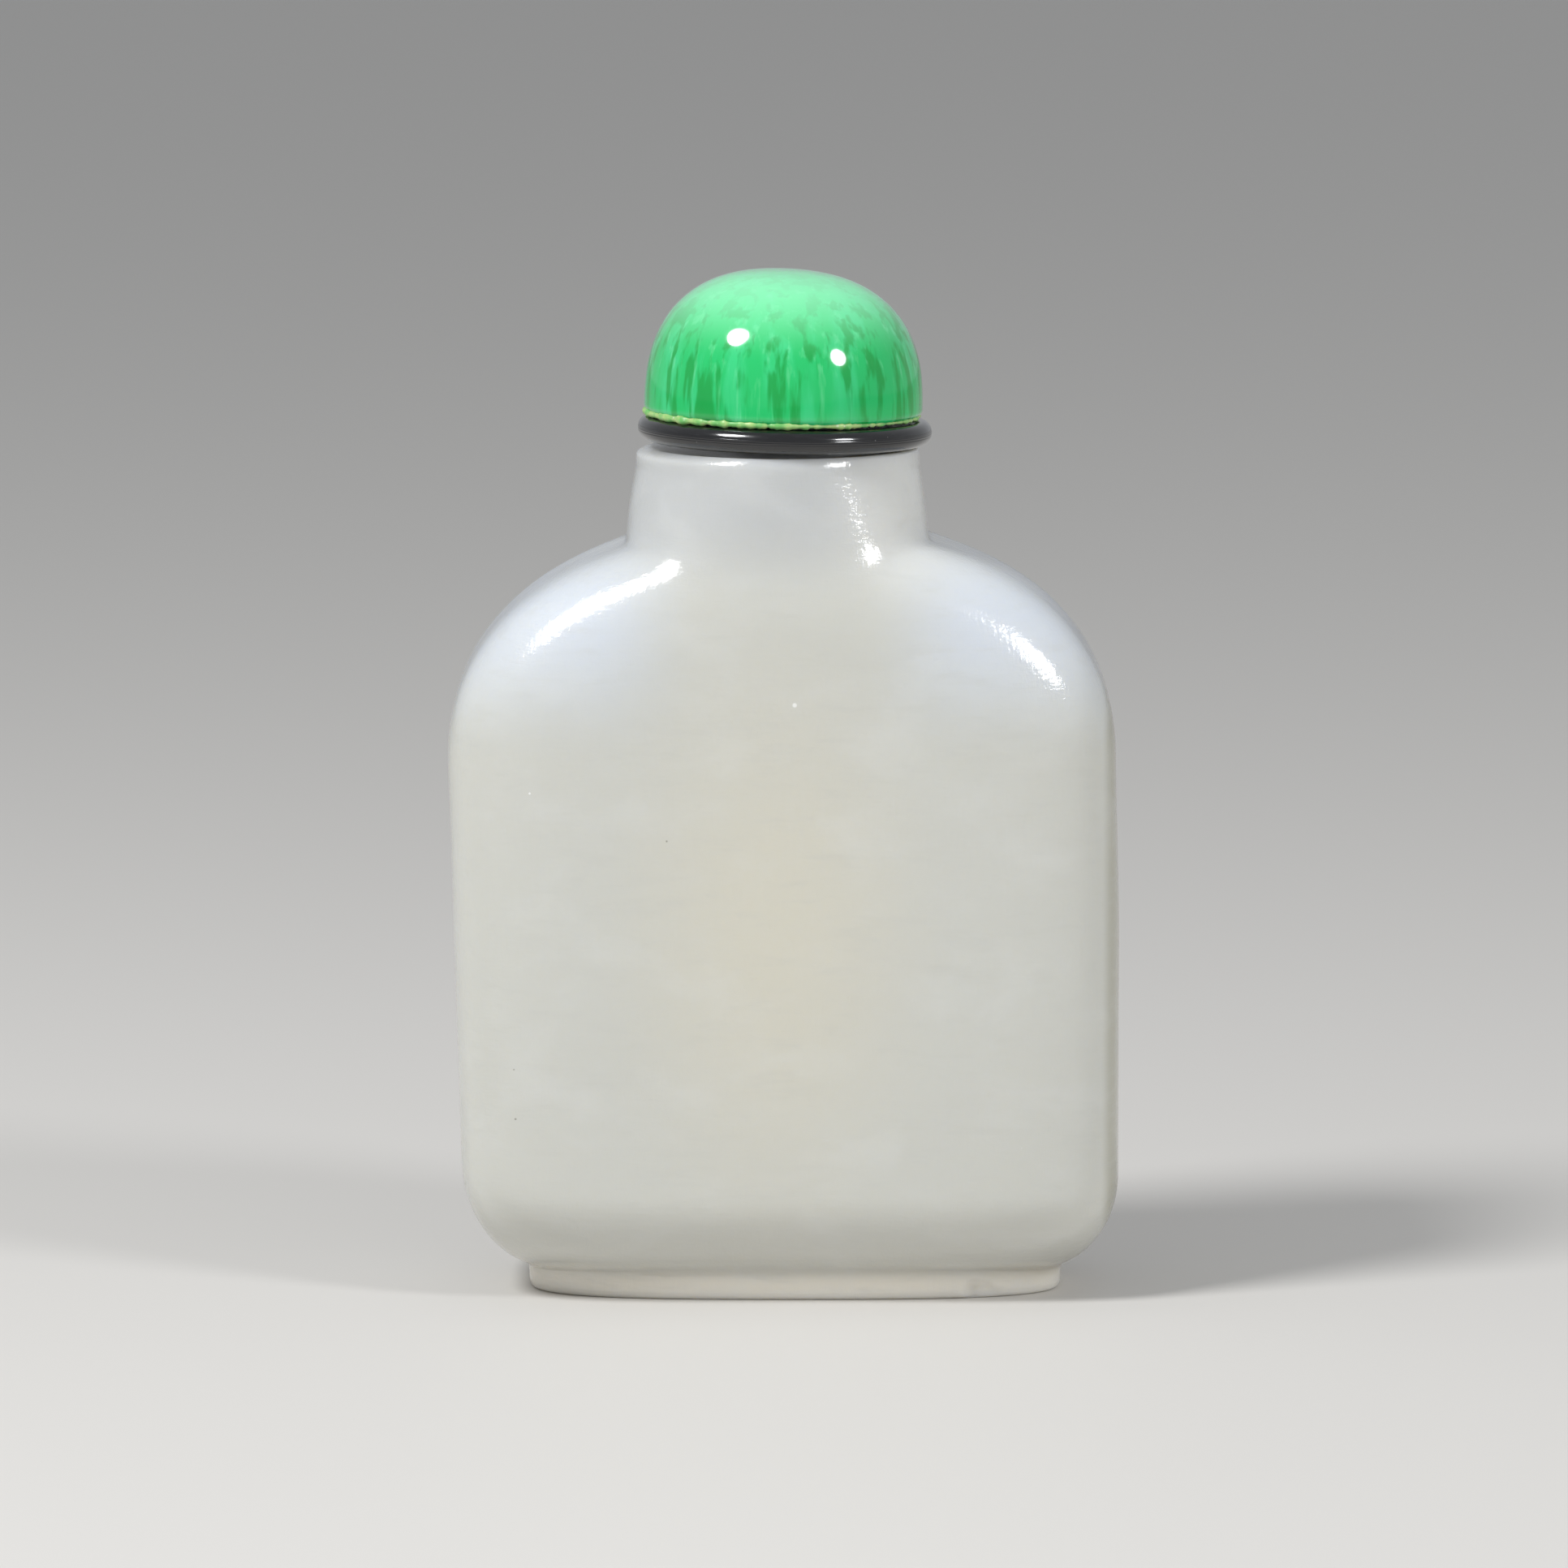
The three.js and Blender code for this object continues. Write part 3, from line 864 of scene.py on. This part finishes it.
def new_group(name, inputs, outputs):
    """An empty group with named sockets; returns the group, its inputs by name, and its output node."""
    group = bpy.data.node_groups.new(name, "ShaderNodeTree")
    for label, kind, value in inputs:
        socket = group.interface.new_socket(label, in_out="INPUT", socket_type=kind)
        if value is not None:
            socket.default_value = value
    for label, kind in outputs:
        group.interface.new_socket(label, in_out="OUTPUT", socket_type=kind)
    return group, group.nodes.new("NodeGroupInput").outputs, group.nodes.new("NodeGroupOutput")


def place_group(tree, group, joins):
    return add(tree, "ShaderNodeGroup", joins, node_tree=group).outputs


FLOAT, VECTOR = "NodeSocketFloat", "NodeSocketVector"
print("node helpers ready")


# %% Group: stretched clouds
def make_clouds_group():
    inputs = [
        ("Place", VECTOR, None),
        ("Stretch", VECTOR, (1, 1, 1)),
        ("Size", FLOAT, 3.0),
        ("Warp", FLOAT, 0.3),
        ("Detail", FLOAT, 4.0),
        ("Seed", FLOAT, 0.0),
    ]
    group, given, out = new_group("stretched clouds", inputs, [("Value", FLOAT)])
    squeezed = vector_maths(group, "DIVIDE", given["Place"], given["Stretch"])
    size = add(group, "ShaderNodeCombineXYZ", {axis: given["Size"] for axis in range(3)}).outputs[0]
    offset = add(group, "ShaderNodeCombineXYZ", {0: given["Seed"], 2: given["Seed"]}).outputs[0]
    shifted = vector_maths(group, "ADD", vector_maths(group, "DIVIDE", squeezed, size), offset)
    stir = noise_at(group, shifted, 0.7, 1.0)["Color"]
    centred = vector_maths(group, "SUBTRACT", stir, (0.5, 0.5, 0.5))
    stirred = vector_maths(group, "ADD", shifted, scaled(group, centred, given["Warp"]))
    cloud = noise_at(group, stirred, 1.0, given["Detail"])["Fac"]
    group.links.new(cloud, out.inputs["Value"])
    return group


clouds = make_clouds_group()
print("group:", clouds.name)


# %% Group: tiny specks
def make_specks_group():
    inputs = [
        ("Place", VECTOR, None),
        ("Spacing", FLOAT, 2.0),
        ("Radius", FLOAT, 0.1),
        ("Share", FLOAT, 0.3),
    ]
    group, given, out = new_group("tiny specks", inputs, [("Mask", FLOAT)])
    density = maths(group, "DIVIDE", 1.0, given["Spacing"])
    cells = add(group, "ShaderNodeTexVoronoi", {"Vector": given["Place"], "Scale": density})
    distance = maths(group, "MULTIPLY", cells.outputs["Distance"], given["Spacing"])
    random = add(group, "ShaderNodeSeparateColor", {0: cells.outputs["Color"]}).outputs
    chosen = maths(group, "LESS_THAN", random[0], given["Share"])
    radius = maths(group, "MULTIPLY", given["Radius"], maths(group, "ADD", 0.4, random[1]))
    dot = maths(group, "SUBTRACT", 1.0, ramp(group, distance, 0.0, radius))
    group.links.new(maths(group, "MULTIPLY", chosen, dot), out.inputs["Mask"])
    return group


specks = make_specks_group()
print("group:", specks.name)


# %% Group: soft spot
def make_spot_group():
    inputs = [
        ("Place", VECTOR, None),
        ("Centre", VECTOR, (0, 0, 0)),
        ("Size", VECTOR, (1, 1, 1)),
        ("Softness", FLOAT, 0.5),
    ]
    group, given, out = new_group("soft spot", inputs, [("Mask", FLOAT)])
    away = vector_maths(group, "SUBTRACT", given["Place"], given["Centre"])
    away = vector_maths(group, "DIVIDE", away, given["Size"])
    distance = add(group, "ShaderNodeVectorMath", {0: away}, operation="LENGTH").outputs["Value"]
    inner = maths(group, "SUBTRACT", 1.0, given["Softness"])
    group.links.new(ramp(group, distance, inner, 1.0, low=1.0, high=0.0), out.inputs["Mask"])
    return group


spot = make_spot_group()
print("group:", spot.name)


# %% Group: worn polish
SCRATCHES = [(2.5, 2.0, 0.7), (0.7, 0.7, 2.5)]  # one layer runs across, the other upright


def make_polish_group():
    inputs = [("Place", VECTOR, None), ("Roughness", FLOAT, 0.2), ("Wear", FLOAT, 0.1)]
    group, given, out = new_group("worn polish", inputs, [("Roughness", FLOAT), ("Height", FLOAT)])
    patches = noise_at(group, given["Place"], 0.35, 5.0)["Fac"]
    swing = maths(group, "MULTIPLY", maths(group, "SUBTRACT", patches, 0.5), given["Wear"])
    group.links.new(maths(group, "ADD", given["Roughness"], swing), out.inputs["Roughness"])
    layers = []
    for stretch in SCRATCHES:
        along = vector_maths(group, "DIVIDE", given["Place"], stretch)
        layers.append(noise_at(group, along, 2.6, 4.0)["Fac"])
    group.links.new(maths(group, "MULTIPLY", *layers), out.inputs["Height"])
    return group


polish = make_polish_group()
print("group:", polish.name)


# %% Start of every finish
def new_finish(name, **constants):
    """A material, its tree and shader, and the place on the object in mm. Constants go on the shader."""
    material = bpy.data.materials.new(name)
    material.use_nodes = True
    tree = material.node_tree
    shader = tree.nodes["Principled BSDF"]
    for label, value in constants.items():
        shader.inputs[label.replace("_", " ")].default_value = value
    place = scaled(tree, add(tree, "ShaderNodeTexCoord").outputs["Object"], 1 / MM)
    return material, tree, shader, place


def clouds_at(tree, place, **settings):
    return place_group(tree, clouds, {"Place": place, **settings})["Value"]


def specks_at(tree, place, **settings):
    return place_group(tree, specks, {"Place": place, **settings})["Mask"]


def spot_at(tree, place, **settings):
    return place_group(tree, spot, {"Place": place, **settings})["Mask"]


def bump(tree, height, strength, depth):
    """A normal that follows a height. The depth is in millimetres."""
    joins = {"Height": height, "Strength": strength, "Distance": depth * MM}
    return add(tree, "ShaderNodeBump", joins).outputs[0]


def wear_polish(tree, shader, place, roughness, wear, strength, depth=0.01):
    """Uneven gloss and the finest scratches, from the shared group."""
    worn = place_group(tree, polish, {"Place": place, "Roughness": roughness, "Wear": wear})
    tree.links.new(worn["Roughness"], shader.inputs["Roughness"])
    tree.links.new(bump(tree, worn["Height"], strength, depth), shader.inputs["Normal"])


print("finish helpers ready")

# %% [markdown]
# ## Stone
#
# Nephrite of this colour looks like thick milk: light goes in, scatters, and comes out a few
# millimetres away, so edges glow and shadows are soft. That is subsurface scattering. Over it lies the
# waxy gloss of a hard polished stone. The colour is nearly even: warm in the thick middle of the body
# and cooler at the sides, with faint clouds and wisps and a few specks.

# %% Stone
STONE_SIDE = (0.60, 0.60, 0.555)
STONE_WARM = (0.66, 0.63, 0.525)
# painted sheen: the shoulders face up to the lamps, so they are painted lighter and bluer
STONE_SHOULDER_SHEEN = (0.62, 0.655, 0.70)
# the neck is painted darker towards the mouth
STONE_NECK = (0.525, 0.535, 0.53)
# painted light: the right side of the neck, which the fill lamp lights weakly, is painted lighter
STONE_NECK_RIGHT_LIT = (0.67, 0.67, 0.64)
# painted shade: a dark olive strip down the right edge, which turns away from the key lamp
STONE_RIGHT_EDGE_SHADE = (0.44, 0.43, 0.36)
# the foot's warm beige is its own colour, and its extra brightness is painted light
STONE_FOOT_TONE_AND_LIGHT = (0.83, 0.78, 0.68)
STONE_PALE = (0.74, 0.75, 0.74)
STONE_DEEP = (0.54, 0.54, 0.50)
STONE_DUST = (0.9, 0.9, 0.88)
FADES = {  # the two places between which each tint fades in, in millimetres
    "shoulder": (36.0, 46.0),
    "off_axis": (5.0, 13.0),
    "neck": (46.0, 53.0),
    "neck_right_lit": (1.0, 8.0),
    "right_edge_shade": (20.9, 21.7),
    "above_foot": (0.9, 2.6),
}
WARM_MIDDLE = {"Centre": (-0.8, 0, 25), "Size": (14, 30, 27), "Softness": 1.0}
DARK = (0.25, 0.24, 0.2)
PALE = (0.9, 0.9, 0.9)
MARKS = [  # centre, size and tone
    ((-7.7, -10.8, 31.2), 0.09, DARK),
    ((-17.7, -10, 12.6), 0.1, DARK),
    ((-17.8, -10, 15.9), 0.07, DARK),
    ((-16.7, -10, 34.3), 0.1, PALE),
    ((0.7, -10.8, 40.2), 0.2, PALE),
]


def make_stone():
    material, tree, shader, place = new_finish(
        "polished nephrite",
        IOR=1.6,
        Subsurface_Weight=0.85,
        Subsurface_Radius=(1.0, 0.92, 0.75),
        Subsurface_Scale=0.0018,
        Coat_Weight=0.2,
        Coat_Roughness=0.35,
        Coat_IOR=1.5,
    )
    across, _, height = add(tree, "ShaderNodeSeparateXYZ", {0: place}).outputs
    colour = blend(tree, spot_at(tree, place, **WARM_MIDDLE), STONE_SIDE, STONE_WARM)
    off_axis = ramp(tree, maths(tree, "ABSOLUTE", across), *FADES["off_axis"])
    high = ramp(tree, height, *FADES["shoulder"])
    # painted sheen: the shoulders, away from the middle, painted lighter and bluer
    colour = blend(tree, maths(tree, "MULTIPLY", high, off_axis), colour, STONE_SHOULDER_SHEEN)
    # painted light on the right of the neck, over a neck painted darker towards the mouth
    neck = blend(tree, ramp(tree, across, *FADES["neck_right_lit"]), STONE_NECK, STONE_NECK_RIGHT_LIT)
    colour = blend(tree, ramp(tree, height, *FADES["neck"]), colour, neck)
    # painted shade down the right edge
    colour = blend(tree, ramp(tree, across, *FADES["right_edge_shade"]), colour, STONE_RIGHT_EDGE_SHADE)
    # partly painted light: the foot painted lighter and warmer than the body
    above_foot = ramp(tree, height, *FADES["above_foot"])
    colour = blend(tree, maths(tree, "SUBTRACT", 1.0, above_foot), colour, STONE_FOOT_TONE_AND_LIGHT)
    cloud = clouds_at(tree, place, Stretch=(1.5, 1.2, 1.0), Size=4.0, Warp=1.0, Seed=3.0)
    wisp = clouds_at(tree, place, Stretch=(3.0, 1.5, 0.6), Size=1.3, Warp=0.8, Detail=5.0, Seed=8.0)
    colour = tinted(tree, colour, ramp(tree, cloud, 0.45, 0.75), 0.16, STONE_PALE)
    colour = tinted(tree, colour, ramp(tree, wisp, 0.5, 0.8), 0.25, STONE_DEEP)
    dust = specks_at(tree, place, Spacing=3.0, Radius=0.09, Share=0.25)
    colour = tinted(tree, colour, dust, 0.5, STONE_DUST)
    for centre, size, tone in MARKS:
        mark = spot_at(tree, place, Centre=centre, Size=(size, 5, size), Softness=0.6)
        colour = tinted(tree, colour, mark, 0.7, tone)
    tree.links.new(colour, shader.inputs["Base Color"])
    wear_polish(tree, shader, place, roughness=0.1, wear=0.08, strength=0.7, depth=0.05)
    return material


bottle.data.materials.append(make_stone())
print("stone finished")

# %% [markdown]
# ## Streaked glass
#
# The dome imitates green jade: opaque glass pulled while soft, so that its colours lie in upright
# sheets. Cut as a dome it shows long streaks down the sides and small dots and dashes on the crown.
# One texture stretched along the height gives both, because it is a solid texture that the dome cuts.

# %% Streaked glass
MINT = (0.30, 0.86, 0.50)
FRESH = (0.012, 0.52, 0.14)
EMERALD = (0.002, 0.34, 0.055)
PALE_GREEN = (0.035, 0.59, 0.21)
CROWN = (62.5, 67.6)  # heights between which the dome turns paler
BROAD_STREAKS = {"Stretch": (1, 1, 9), "Size": 2.2, "Warp": 0.7, "Seed": 2.0}
FINE_STREAKS = {"Stretch": (1, 1, 14), "Size": 0.55, "Warp": 0.4, "Detail": 5.0, "Seed": 5.0}
DARK_STREAKS = {"Stretch": (1, 1, 7), "Size": 0.9, "Warp": 0.6, "Detail": 3.0, "Seed": 9.0}


def make_glass():
    material, tree, shader, place = new_finish(
        "streaked green glass",
        IOR=1.52,
        Subsurface_Weight=0.35,
        Subsurface_Radius=(0.4, 1.0, 0.5),
        Subsurface_Scale=0.0012,
        Coat_Weight=0.5,
        Coat_Roughness=0.03,
    )
    centred = vector_maths(tree, "SUBTRACT", place, (STOPPER["x"], 0, 0))
    broad = clouds_at(tree, centred, **BROAD_STREAKS)
    fine = clouds_at(tree, centred, **FINE_STREAKS)
    dark = clouds_at(tree, centred, **DARK_STREAKS)
    height = add(tree, "ShaderNodeSeparateXYZ", {0: place}).outputs[2]
    colour = blend(tree, ramp(tree, broad, 0.46, 0.62), FRESH, PALE_GREEN)
    colour = tinted(tree, colour, ramp(tree, fine, 0.54, 0.7), 0.22, MINT)
    colour = tinted(tree, colour, ramp(tree, dark, 0.48, 0.62), 0.9, EMERALD)
    colour = tinted(tree, colour, ramp(tree, height, *CROWN), 0.75, MINT)
    tree.links.new(colour, shader.inputs["Base Color"])
    wear_polish(tree, shader, place, roughness=0.09, wear=0.06, strength=0.15)
    return material


dome.data.materials.append(make_glass())
print("glass finished")

# %% [markdown]
# ## Black collar, glue and cork
#
# The collar is polished black horn or early plastic: almost no colour, all reflection, and dust in its
# turned lines. The glue is yellowish and crumbly. Cork is matt, with dark pores.

# %% Black collar finish
BLACK = (0.003, 0.003, 0.004)
BLACK_HAZE = (0.012, 0.012, 0.014)
COLLAR_DUST = (0.5, 0.5, 0.48)


def make_black():
    material, tree, shader, place = new_finish(
        "polished black",
        IOR=1.55,
        Coat_Weight=0.6,
        Coat_Roughness=0.05,
    )
    dust = specks_at(tree, place, Spacing=0.45, Radius=0.05, Share=0.35)
    haze = clouds_at(tree, place, Stretch=(2, 2, 0.4), Size=0.5, Warp=0.4)
    colour = blend(tree, ramp(tree, haze, 0.5, 0.8), BLACK, BLACK_HAZE)
    colour = tinted(tree, colour, dust, 0.35, COLLAR_DUST)
    tree.links.new(colour, shader.inputs["Base Color"])
    wear_polish(tree, shader, place, roughness=0.16, wear=0.15, strength=0.35)
    return material


collar.data.materials.append(make_black())
print("collar finished")

# %% Glue and cork finishes
GLUE_GREEN = (0.16, 0.48, 0.13)
GLUE_YELLOW = (0.42, 0.60, 0.22)
GLUE_CRUMB = (0.75, 0.85, 0.65)
CORK_DARK = (0.36, 0.2, 0.09)
CORK_PALE = (0.62, 0.42, 0.24)
CORK_PORE = (0.14, 0.07, 0.03)


def make_glue():
    material, tree, shader, place = new_finish(
        "dried glue",
        Roughness=0.35,
        Subsurface_Weight=0.4,
        Subsurface_Radius=(0.6, 1.0, 0.4),
        Subsurface_Scale=0.0005,
    )
    crumbs = specks_at(tree, place, Spacing=0.35, Radius=0.12, Share=0.4)
    patch = clouds_at(tree, place, Size=0.8, Warp=0.5)
    colour = blend(tree, ramp(tree, patch, 0.35, 0.65), GLUE_GREEN, GLUE_YELLOW)
    colour = tinted(tree, colour, crumbs, 0.7, GLUE_CRUMB)
    tree.links.new(colour, shader.inputs["Base Color"])
    return material


def make_cork():
    material, tree, shader, place = new_finish("cork", Roughness=0.9)
    grain = clouds_at(tree, place, Size=0.9, Warp=0.8, Detail=6.0)
    pores = specks_at(tree, place, Spacing=0.8, Radius=0.25, Share=0.5)
    colour = blend(tree, ramp(tree, grain, 0.35, 0.7), CORK_DARK, CORK_PALE)
    colour = tinted(tree, colour, pores, 0.7, CORK_PORE)
    tree.links.new(colour, shader.inputs["Base Color"])
    tree.links.new(bump(tree, grain, strength=0.5, depth=0.1), shader.inputs["Normal"])
    return material


glue.data.materials.append(make_glue())
cork.data.materials.append(make_cork())
print("glue and cork finished")
